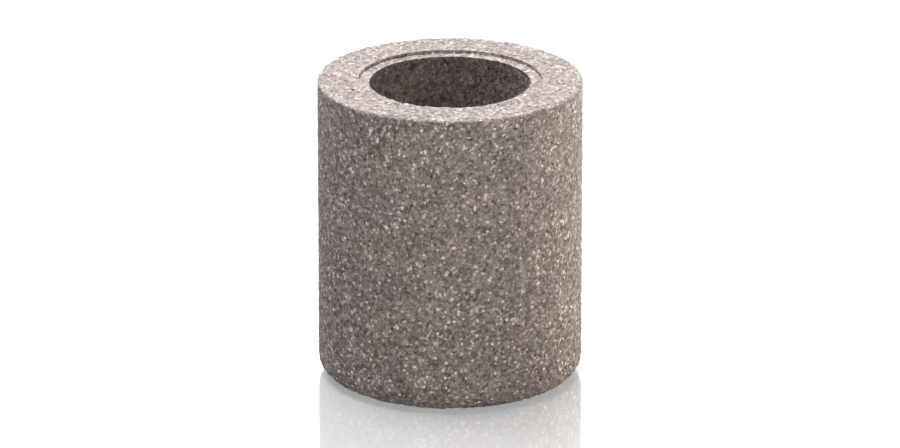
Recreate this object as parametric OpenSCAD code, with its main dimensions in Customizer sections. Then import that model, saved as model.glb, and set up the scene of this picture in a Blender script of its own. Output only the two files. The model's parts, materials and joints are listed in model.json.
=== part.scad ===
// Sintered filter element: a thick-walled cup with a closed bottom, made in
// one piece from coarse powder. It stands on its flat base with its axis
// along Z and its open mouth upwards. Flow passes through the porous wall,
// between the outside and the bore.

/* [Cup] */
// Outside diameter
outer_d = 40; // [24:0.5:80]
// Overall height, from the base to the rim
height = 46.5; // [20:0.5:120]
// Thickness of the wall round the bore
wall_t = 8; // [3:0.5:14]
// Thickness of the closed bottom
floor_t = 8; // [3:0.5:30]

/* [Edges] */
// Radius of the rounded edge round the base
base_edge_r = 3; // [0.5:0.1:8]
// Radius of the softened edge round the rim
rim_edge_r = 0.4; // [0.1:0.1:2]
// Radius in the corner between the bore and its floor
bore_corner_r = 3; // [0.5:0.1:8]

/* [Mouth] */
// Width of the sunken ledge round the mouth of the bore
ledge_w = 1.7; // [0.5:0.1:4]
// Depth of the ledge below the rim
ledge_depth = 0.5; // [0.2:0.1:6]

/* [Hidden] */
$fn = 128;

// How far a cut runs past the surface it opens
overcut = 1;
// Colour of the bare sintered powder
sintered_grey = [0.56, 0.52, 0.49];

outer_r = outer_d / 2;
bore_r = outer_r - wall_t;
bore_depth = height - floor_t;
ledge_r = bore_r + ledge_w;
// The corner can't be rounder than the bore itself
floor_corner_r = min(bore_corner_r, bore_r);

// What rounding takes off a sharp corner at the origin, where the body lies
// towards -X and +Y
module corner_waste(r) {
    translate([-r, 0])
        difference() {
            translate([0, -overcut])
                square([r + overcut, r + overcut]);
            translate([0, r])
                circle(r);
        }
}

// Half section of the outside, with the axis at X = 0
module outside_section() {
    difference() {
        square([outer_r, height]);
        translate([outer_r, 0])
            corner_waste(base_edge_r);
        translate([outer_r, height])
            mirror([0, 1])
                corner_waste(rim_edge_r);
    }
}

// Half section of the hollow: the bore with its rounded floor, and the ledge
// round its mouth
module hollow_section() {
    translate([0, floor_t])
        difference() {
            square([bore_r, bore_depth + overcut]);
            translate([bore_r, 0])
                corner_waste(floor_corner_r);
        }
    translate([0, height - ledge_depth])
        square([ledge_r, ledge_depth + overcut]);
}

// The whole element, turned from its half section
module filter_cup() {
    color(sintered_grey)
        rotate_extrude()
            difference() {
                outside_section();
                hollow_section();
            }
}

filter_cup();
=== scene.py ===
"""Sintered filter cup: a dense mesh with a relief of powder grains, its material, and a plain studio."""
import json
import math
from types import SimpleNamespace

import bpy
import numpy as np
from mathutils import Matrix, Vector


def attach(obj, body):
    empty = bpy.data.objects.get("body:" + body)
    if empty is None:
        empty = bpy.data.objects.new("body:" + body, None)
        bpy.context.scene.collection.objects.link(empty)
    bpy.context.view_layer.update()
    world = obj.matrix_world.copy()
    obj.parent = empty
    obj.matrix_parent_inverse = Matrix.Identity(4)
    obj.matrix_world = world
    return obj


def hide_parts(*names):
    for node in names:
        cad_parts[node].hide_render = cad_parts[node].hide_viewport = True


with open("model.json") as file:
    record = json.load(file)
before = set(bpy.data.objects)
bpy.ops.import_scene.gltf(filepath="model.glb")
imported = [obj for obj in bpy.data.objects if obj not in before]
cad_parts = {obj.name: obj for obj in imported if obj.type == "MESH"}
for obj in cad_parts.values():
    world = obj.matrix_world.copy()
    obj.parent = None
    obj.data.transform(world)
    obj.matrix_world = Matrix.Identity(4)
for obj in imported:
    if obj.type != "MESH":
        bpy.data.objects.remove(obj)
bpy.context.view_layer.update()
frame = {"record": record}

MM = 0.001
SEED = 7
WHITE = (1, 1, 1, 1)

# The cup's section, in metres. The main sizes come from the frame.
mounts = {mount["name"]: mount for mount in frame["record"]["mounts"]}
OUTER_R = mounts["outer_wall"]["dims"]["r_mm"] * MM
BORE_R = mounts["bore"]["dims"]["r_mm"] * MM
HEIGHT = mounts["rim_face"]["pos_m"][2]
FLOOR_T = 8 * MM
BASE_EDGE_R = 3 * MM
RIM_EDGE_R = 0.4 * MM
BORE_CORNER_R = 3 * MM
LEDGE_R = BORE_R + 1.7 * MM
LEDGE_Z = HEIGHT - 0.5 * MM
# What the camera and the lamps face
MIDDLE = Vector((0, 0, HEIGHT / 2))

# Spacing of the mesh's points: outside and on the rim, in the bore, and on its floor and underneath
FINE = 0.325 * MM
MEDIUM = 0.48 * MM
COARSE = 0.8 * MM
# Rows of near equilateral triangles lie this much closer than their points
ROW = math.sqrt(3) / 2
# Points stray up to this share of their spacing, so that no lines of triangles show
STRAY = 0.2
# Only the edges of the ledge and of the bore's mouth turn by more than this, and they stay crisp
CRISP = math.radians(60)
# The ends of the section stop this far from the axis, and a small cap closes each
CAP_R = 0.3 * MM
# Side of the square sheet that the surface is laid out on, and the room between the patches there
SHEET = 132 * MM
SHEET_GAP = 2 * MM

# Pitch of the powder grains, and of the lumps that they cake into
GRAIN = 0.39 * MM
LUMP = 0.75 * MM
# Depth of the hollows between the lumps, and of the bumps of single grains
RELIEF = 0.22 * MM
BUMP = 0.07 * MM
# The powder's greys: a dark brown, which the painted shade in the pits and between the grains runs towards,
# and the two that mix in patches on the brightest grains
DARK_BROWN = (0.155, 0.118, 0.1, 1)
COOL_GREY = (0.8, 0.72, 0.7, 1)
WARM_GREY = (0.82, 0.72, 0.68, 1)


def straight(start, end, spacing):
    """Points of a straight stretch of the section, from start up to its end."""
    count = max(1, round(math.dist(start, end) / (spacing * ROW)))
    share = np.arange(count)[:, None] / count
    return np.array(start) * (1 - share) + np.array(end) * share


def rounded(centre, radius, first_deg, last_deg, spacing):
    """Points of a rounded stretch of the section, from the first angle up to the last."""
    turn = math.radians(last_deg - first_deg)
    count = max(2, round(abs(turn) * radius / (spacing * ROW)))
    angle = math.radians(first_deg) + turn * np.arange(count) / count
    return np.array(centre) + radius * np.stack([np.cos(angle), np.sin(angle)], 1)


def section():
    """The rings of points that make the cup, from the middle of the base over the rim to the bore's floor.

    Each ring has its radius and height, its points' spacing, its distance along the section, and the name
    of the patch of surface that starts or goes on from it.
    """
    wall_low = BASE_EDGE_R
    wall_high = HEIGHT - RIM_EDGE_R
    bore_low = FLOOR_T + BORE_CORNER_R
    stretches = [
        ("base", COARSE, straight((CAP_R, 0), (OUTER_R - BASE_EDGE_R, 0), COARSE)),
        ("outside", FINE, rounded((OUTER_R - BASE_EDGE_R, wall_low), BASE_EDGE_R, -90, 0, FINE)),
        ("outside", FINE, straight((OUTER_R, wall_low), (OUTER_R, wall_high), FINE)),
        ("outside", FINE, rounded((OUTER_R - RIM_EDGE_R, wall_high), RIM_EDGE_R, 0, 90, FINE)),
        ("rim", FINE, straight((OUTER_R - RIM_EDGE_R, HEIGHT), (LEDGE_R, HEIGHT), FINE)),
        ("rim", FINE, straight((LEDGE_R, HEIGHT), (LEDGE_R, LEDGE_Z), FINE)),
        ("rim", FINE, straight((LEDGE_R, LEDGE_Z), (BORE_R, LEDGE_Z), FINE)),
        ("bore", MEDIUM, straight((BORE_R, LEDGE_Z), (BORE_R, bore_low), MEDIUM)),
        ("bottom", MEDIUM, rounded((BORE_R - BORE_CORNER_R, bore_low), BORE_CORNER_R, 0, -90, MEDIUM)),
        ("bottom", COARSE, straight((BORE_R - BORE_CORNER_R, FLOOR_T), (CAP_R, FLOOR_T), COARSE)),
        ("bottom", COARSE, [(CAP_R, FLOOR_T)]),
    ]
    rings = []
    for patch, spacing, places in stretches:
        for radius, z in places:
            step = math.dist((radius, z), (rings[-1].radius, rings[-1].z)) if rings else 0
            along = rings[-1].along + step if rings else 0
            rings.append(SimpleNamespace(patch=patch, radius=radius, z=z, spacing=spacing, along=along))
    return rings


def stitch(low, high):
    """Triangles between two neighbouring rings. A corner is a ring and a place in its list of angles."""
    triangles = []
    i = j = 0
    while i < low.count or j < high.count:
        low_next = low.angles[i + 1] if i < low.count else math.inf
        high_next = high.angles[j + 1] if j < high.count else math.inf
        if low_next <= high_next:
            triangles.append(((low, i), (low, i + 1), (high, j)))
            i += 1
        else:
            triangles.append(((low, i), (high, j + 1), (high, j)))
            j += 1
    return triangles


def sheet_places(rings):
    """For each patch, a function from an angle and a distance along the section to a place on the sheet."""
    starts = {}
    for ring in rings:
        starts.setdefault(ring.patch, ring.along)
    end = rings[-1].along
    base_r = OUTER_R - BASE_EDGE_R
    bottom_r = CAP_R + end - starts["bottom"]
    left = outside_low = SHEET_GAP
    bore_low = outside_low + starts["rim"] - starts["outside"] + SHEET_GAP
    rim_x = left + 2 * math.pi * BORE_R + SHEET_GAP + OUTER_R
    rim_y = bore_low + OUTER_R
    base_x = left + base_r
    base_y = rim_y + OUTER_R + SHEET_GAP + base_r
    bottom_x = left + 2 * base_r + SHEET_GAP + bottom_r
    bottom_y = bore_low + starts["bottom"] - starts["bore"] + SHEET_GAP + bottom_r

    def on_disc(x, y, radius, angle):
        return x + radius * math.cos(angle), y + radius * math.sin(angle)

    return {
        "base": lambda angle, along: on_disc(base_x, base_y, CAP_R + along, -angle),
        "outside": lambda angle, along: (left + angle * OUTER_R, outside_low + along - starts["outside"]),
        "rim": lambda angle, along: on_disc(rim_x, rim_y, BORE_R + starts["bore"] - along, angle),
        "bore": lambda angle, along: (left + angle * BORE_R, bore_low + along - starts["bore"]),
        "bottom": lambda angle, along: on_disc(bottom_x, bottom_y, CAP_R + end - along, angle),
    }


def cup_mesh():
    """The cup as one closed mesh of even triangles, still without its lumps, and a map of its surface."""
    random = np.random.default_rng(SEED)
    rings = section()
    points = []
    for number, ring in enumerate(rings):
        ring.first = len(points)
        ring.count = max(6, round(2 * math.pi * ring.radius / ring.spacing))
        # Every other ring is turned by half a step
        shift = number % 2 / 2 + random.uniform(-STRAY, STRAY, ring.count)
        angles = (np.arange(ring.count) + shift) * 2 * math.pi / ring.count
        ring.angles = [*angles.tolist(), angles[0] + 2 * math.pi]
        points += [(ring.radius * math.cos(a), ring.radius * math.sin(a), ring.z) for a in ring.angles[:-1]]
    first, last = rings[0], rings[-1]
    faces = [("base", [(first, k) for k in reversed(range(first.count))])]
    faces += [("bottom", [(last, k) for k in range(last.count)])]
    for low, high in zip(rings, rings[1:]):
        faces += [(low.patch, corners) for corners in stitch(low, high)]
    corner_points = [[ring.first + k % ring.count for ring, k in corners] for _, corners in faces]
    mesh = bpy.data.meshes.new("filter_cup_grained")
    mesh.from_pydata(points, [], corner_points)
    mesh.set_sharp_from_angle(angle=CRISP)
    places = sheet_places(rings)
    spots = [places[patch](ring.angles[k], ring.along) for patch, corners in faces for ring, k in corners]
    layer = mesh.uv_layers.new(name="OFBake")
    layer.uv.foreach_set("vector", (np.array(spots, np.float32) / SHEET).ravel())
    return mesh


def add(tree, kind, inputs=(), **settings):
    """A new node. Its inputs go by name or number, each with its value or the socket that feeds it."""
    node = tree.nodes.new(kind)
    for name, value in settings.items():
        setattr(node, name, value)
    for name, value in dict(inputs).items():
        if isinstance(value, bpy.types.NodeSocket):
            tree.links.new(value, node.inputs[name])
        else:
            node.inputs[name].default_value = value
    return node


def maths(tree, operation, *values):
    """The result of one operation on numbers."""
    return add(tree, "ShaderNodeMath", enumerate(values), operation=operation).outputs[0]


def vectors(tree, operation, inputs):
    """The vector that comes of one operation on vectors."""
    return add(tree, "ShaderNodeVectorMath", inputs, operation=operation).outputs["Vector"]


def noise(tree, place, scale, detail):
    """The outputs of a noise that runs through space."""
    return add(tree, "ShaderNodeTexNoise", {"Vector": place, "Scale": scale, "Detail": detail}).outputs


def mix(tree, share, low, high):
    """A colour between two others. The node's sockets go by number, as several share a name."""
    return add(tree, "ShaderNodeMix", {0: share, 6: low, 7: high}, data_type="RGBA").outputs[2]


def ramp(tree, value, start, end, low=0.0, high=1.0):
    """A smooth step of value from low at start to high at end."""
    inputs = {"Value": value, "From Min": start, "From Max": end, "To Min": low, "To Max": high}
    return add(tree, "ShaderNodeMapRange", inputs, interpolation_type="SMOOTHSTEP").outputs["Result"]


def powder(tree, place, pitch):
    """Irregular grains of a given pitch.

    Gives their height, from 0 between them to 1 on top, and three random numbers for each.
    """
    noise_middle = (0.5, 0.5, 0.5)
    bend = (1.1, 1.1, 1.1)
    place = vectors(tree, "SCALE", {0: place, "Scale": 1 / pitch})
    # Noise shifts the places first, so that the grains aren't plain straight-edged cells
    shift = vectors(tree, "SUBTRACT", {0: noise(tree, place, 1.7, 2.0)["Color"], 1: noise_middle})
    bent = vectors(tree, "MULTIPLY_ADD", {0: shift, 1: bend, 2: place})
    grains = add(tree, "ShaderNodeTexVoronoi", {"Vector": bent, "Scale": 1.0}, feature="F1").outputs
    height = ramp(tree, grains["Distance"], 0.8, 0.2)
    return height, add(tree, "ShaderNodeSeparateXYZ", {0: grains["Color"]}).outputs


def press_lumps(cup):
    """Sinks the hollows between the lumps of powder into the cup's mesh."""
    tree = bpy.data.node_groups.new("lump_relief", "GeometryNodeTree")
    tree.interface.new_socket("Geometry", in_out="INPUT", socket_type="NodeSocketGeometry")
    tree.interface.new_socket("Geometry", in_out="OUTPUT", socket_type="NodeSocketGeometry")
    plain = add(tree, "NodeGroupInput").outputs[0]
    place = add(tree, "GeometryNodeInputPosition").outputs[0]
    normal = add(tree, "GeometryNodeInputNormal").outputs[0]
    height, own = powder(tree, place, LUMP)
    # A lump's top has its own level, from half of the relief up to all of it
    level = maths(tree, "MULTIPLY", height, maths(tree, "MULTIPLY_ADD", own[0], 0.5, 0.5))
    depth = maths(tree, "MULTIPLY", maths(tree, "SUBTRACT", level, 1.0), RELIEF)
    offset = vectors(tree, "SCALE", {0: normal, "Scale": depth})
    # The material places its grains by where the points were before
    before = {"Geometry": plain, "Name": "before_relief", "Value": place}
    kind = {"data_type": "FLOAT_VECTOR", "domain": "POINT"}
    kept = add(tree, "GeometryNodeStoreNamedAttribute", before, **kind)
    moved = add(tree, "GeometryNodeSetPosition", {"Geometry": kept.outputs[0], "Offset": offset})
    add(tree, "NodeGroupOutput", {0: moved.outputs[0]})
    cup.modifiers.new("relief", "NODES").node_group = tree
    shaped = cup.evaluated_get(bpy.context.evaluated_depsgraph_get())
    mesh = bpy.data.meshes.new_from_object(shaped)
    mesh.name = cup.data.name
    cup.modifiers.clear()
    cup.data = mesh


def sintered_material():
    """Bare sintered powder: warm grey grains of many tones, with painted shade in the pits and gaps, and a
    few bright facets with painted glints.
    """
    material = bpy.data.materials.new("sintered_powder")
    material.use_nodes = True
    tree = material.node_tree
    shader = tree.nodes["Principled BSDF"]
    place = add(tree, "ShaderNodeAttribute", attribute_name="before_relief").outputs["Vector"]
    height, own = powder(tree, place, GRAIN)
    lump_height, lump_own = powder(tree, place, LUMP)
    fine = noise(tree, place, 8 / MM, 3.0)["Fac"]
    patch = noise(tree, place, 0.2 / MM, 2.0)["Fac"]
    # A few grains are pits: they sink in the bump, and their colour is darkened as painted shade
    pit_depth_and_shade = ramp(tree, own[0], 0.08, 0.18, 0.58, 1.0)
    tones = [
        # Each grain's own tone, painted shade on the few grains that are pits, and painted glints on a few
        # bright ones
        maths(tree, "MULTIPLY_ADD", own[1], 0.5, 0.75),
        pit_depth_and_shade,
        # Painted highlight: a few grains are raised in colour as glints
        ramp(tree, own[2], 0.8, 0.95, 1.0, 1.45),
        # Painted shade between the grains and in the hollows between the lumps
        ramp(tree, height, 0.0, 0.5, 0.75, 1.0),
        ramp(tree, lump_height, 0.0, 0.6, 0.86, 1.0),
        # Each lump's own tone
        maths(tree, "MULTIPLY_ADD", lump_own[1], 0.32, 0.86),
        # Fine mottling, and faint wide patches
        ramp(tree, fine, 0.3, 0.7, 0.9, 1.1),
        ramp(tree, patch, 0.3, 0.7, 0.94, 1.06),
    ]
    # The product holds the grains' own tones together with the painted shade and the painted glints
    tone = tones[0]
    for other in tones[1:]:
        tone = maths(tree, "MULTIPLY", tone, other)
    bright = mix(tree, ramp(tree, patch, 0.35, 0.65), COOL_GREY, WARM_GREY)
    tone_range = {"Value": tone, "From Min": 0.35, "From Max": 1.65}
    share = add(tree, "ShaderNodeMapRange", tone_range).outputs["Result"]
    # Low tones, mostly the painted shade of pits and gaps, go towards the dark brown
    tree.links.new(mix(tree, share, DARK_BROWN, bright), shader.inputs["Base Color"])
    # The brightest grains, whose glints are painted into the colour, are also bare facets, smoother and
    # more metallic than the rest
    shader.inputs["Specular IOR Level"].default_value = 0.12
    tree.links.new(ramp(tree, own[2], 0.86, 0.92, 0.05, 0.33), shader.inputs["Metallic"])
    tree.links.new(ramp(tree, own[2], 0.6, 0.92, 0.72, 0.45), shader.inputs["Roughness"])
    bumps = maths(tree, "MULTIPLY", height, pit_depth_and_shade)
    bumps = maths(tree, "MULTIPLY_ADD", fine, 0.4, bumps)
    bump = add(tree, "ShaderNodeBump", {"Height": bumps, "Distance": BUMP, "Strength": 1.0})
    tree.links.new(bump.outputs["Normal"], shader.inputs["Normal"])
    return material


def filter_cup():
    """The whole element as one piece, in place of its plain solid."""
    cup = bpy.data.objects.new("filter_cup_grained", cup_mesh())
    bpy.context.scene.collection.objects.link(cup)
    press_lumps(cup)
    cup.data.shade_smooth()
    cup.data.materials.append(sintered_material())
    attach(cup, "root")
    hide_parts("filter_cup")


def seen_rays(tree):
    """1 on rays that show what they meet, directly or mirrored, and 0 on rays that only carry light."""
    path = add(tree, "ShaderNodeLightPath").outputs
    mirrored = maths(tree, "MAXIMUM", path["Is Glossy Ray"], path["Is Transmission Ray"])
    return maths(tree, "MAXIMUM", path["Is Camera Ray"], mirrored)


def by_ray(tree, seen, thrown, shown):
    """The shown value on rays that show what they meet, and the thrown one on rays that carry light."""
    inputs = {"Value": seen, "To Min": thrown, "To Max": shown}
    return add(tree, "ShaderNodeMapRange", inputs).outputs["Result"]


def across(tree, place):
    """How far a place or direction is to the right."""
    return add(tree, "ShaderNodeSeparateXYZ", {0: place}).outputs["X"]


def floor():
    """A wide white floor with a soft gloss, which keeps the cup's shadow.

    It throws little light back from close to the cup and from the left, so that the cup's wall darkens
    towards its base and its left side.
    """
    half = 3.0
    shown_grey = 0.55
    gloss_share = 0.48
    gloss_roughness = 0.07
    corners = [(-half, -half, 0), (half, -half, 0), (half, half, 0), (-half, half, 0)]
    mesh = bpy.data.meshes.new("floor")
    mesh.from_pydata(corners, [], [(0, 1, 2, 3)])
    material = bpy.data.materials.new("white_floor")
    material.use_nodes = True
    tree = material.node_tree
    shader = tree.nodes["Principled BSDF"]
    seen = seen_rays(tree)
    place = add(tree, "ShaderNodeTexCoord").outputs["Object"]
    distance = add(tree, "ShaderNodeVectorMath", {0: place}, operation="LENGTH").outputs["Value"]
    thrown_far = ramp(tree, across(tree, place), -0.2, 0.2, 0.0, 0.6)
    thrown = ramp(tree, distance, 0.03, 0.13, 0.0, thrown_far)
    tree.links.new(by_ray(tree, seen, thrown, shown_grey), shader.inputs["Base Color"])
    # A glow that only the camera and reflections see makes the floor white, and is strongest far away
    glow = maths(tree, "MULTIPLY", ramp(tree, distance, 0.2, 1.0, 0.62, 1.0), seen)
    shader.inputs["Emission Color"].default_value = WHITE
    tree.links.new(glow, shader.inputs["Emission Strength"])
    shader.inputs["Specular IOR Level"].default_value = 0
    gloss_look = {"Color": WHITE, "Roughness": gloss_roughness}
    gloss = add(tree, "ShaderNodeBsdfAnisotropic", gloss_look).outputs[0]
    share = maths(tree, "MULTIPLY", seen, gloss_share)
    glossy = add(tree, "ShaderNodeMixShader", {0: share, 1: shader.outputs[0], 2: gloss}).outputs[0]
    tree.links.new(glossy, tree.nodes["Material Output"].inputs["Surface"])
    mesh.materials.append(material)
    plane = bpy.data.objects.new("floor", mesh)
    bpy.context.scene.collection.objects.link(plane)


def hang(name, data, place):
    """A lamp or camera at a place, facing the middle of the cup."""
    holder = bpy.data.objects.new(name, data)
    holder.location = place
    holder.rotation_euler = (MIDDLE - holder.location).to_track_quat("-Z", "Y").to_euler()
    bpy.context.scene.collection.objects.link(holder)
    return holder


def softbox(name, place, power, colour, width, height):
    """A rectangular lamp that faces the cup."""
    lamp = bpy.data.lights.new(name, "AREA")
    lamp.shape = "RECTANGLE"
    lamp.size = width
    lamp.size_y = height
    lamp.energy = power
    lamp.color = colour
    hang(name, lamp, place).visible_camera = False


def studio():
    """Soft light from above, low strips of light from the front round to the right, and a white surround.

    The surround lights the cup from the right most, and from the left least.
    """
    strip = {"width": 0.3, "height": 0.08}
    softbox("overhead", (-0.16, 0.28, 1.2), power=25.5, colour=(0.97, 0.985, 1), width=0.9, height=0.9)
    softbox("front_strip", (-0.17, -0.78, 0.05), power=1.43, colour=(1, 0.99, 0.97), **strip)
    softbox("front_right_strip", (0.61, -0.51, 0.05), power=0.62, colour=(1, 0.81, 0.58), **strip)
    softbox("right_strip", (0.69, 0.4, 0.05), power=3.4, colour=(1, 0.93, 0.82), **strip)
    world = bpy.data.worlds.new("surround")
    world.use_nodes = True
    tree = world.node_tree
    direction = add(tree, "ShaderNodeTexCoord").outputs["Generated"]
    thrown = ramp(tree, across(tree, direction), -1.0, 1.0, 0.0, 0.28)
    background = tree.nodes["Background"]
    background.inputs["Color"].default_value = WHITE
    tree.links.new(by_ray(tree, seen_rays(tree), thrown, 1.0), background.inputs["Strength"])
    bpy.context.scene.world = world


def camera():
    """The photograph's viewing angle, from straight in front and above, through a long lens."""
    elevation = math.radians(19.5)
    distance = 1.2
    shown_width = 0.136
    back = Vector((0, -math.cos(elevation), math.sin(elevation)))
    data = bpy.data.cameras.new("camera")
    data.sensor_width = 36
    data.lens = data.sensor_width * distance / shown_width
    bpy.context.scene.camera = hang("camera", data, MIDDLE + back * distance)


filter_cup()
floor()
studio()
camera()
bpy.context.scene.view_settings.view_transform = "Standard"
